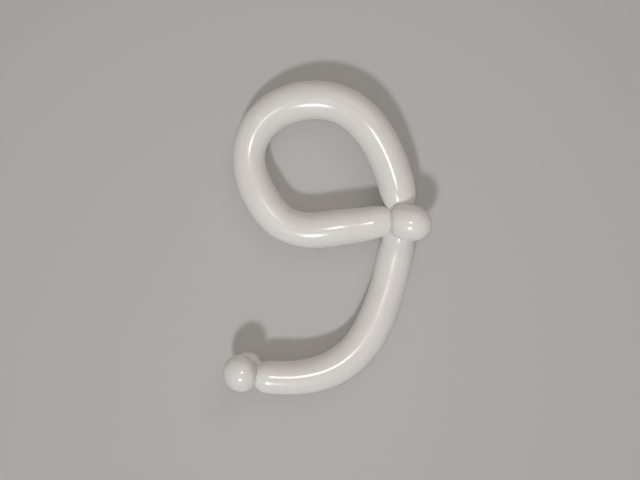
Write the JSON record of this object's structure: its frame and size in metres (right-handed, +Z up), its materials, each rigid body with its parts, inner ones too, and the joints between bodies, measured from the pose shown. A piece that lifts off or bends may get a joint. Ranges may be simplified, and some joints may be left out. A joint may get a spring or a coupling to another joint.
{
  "type": "twisted balloon number",
  "caption": "Inflated white modelling balloon twisted into the numeral 9, lying flat, with pairs of small bubbles locked at the joint and at the tail's end.",
  "frame": {"origin": "on the surface that the balloon lies on, under the middle of its box", "axes": "+X to the numeral's right, +Y to its top, +Z up off the surface, so the numeral is read from above"},
  "size_m": [0.281, 0.4294, 0.0776],
  "materials": {
    "white_latex": "glossy"
  },
  "bodies": {
    "root": {"balloon": "white_latex"}
  },
  "joints": []
}
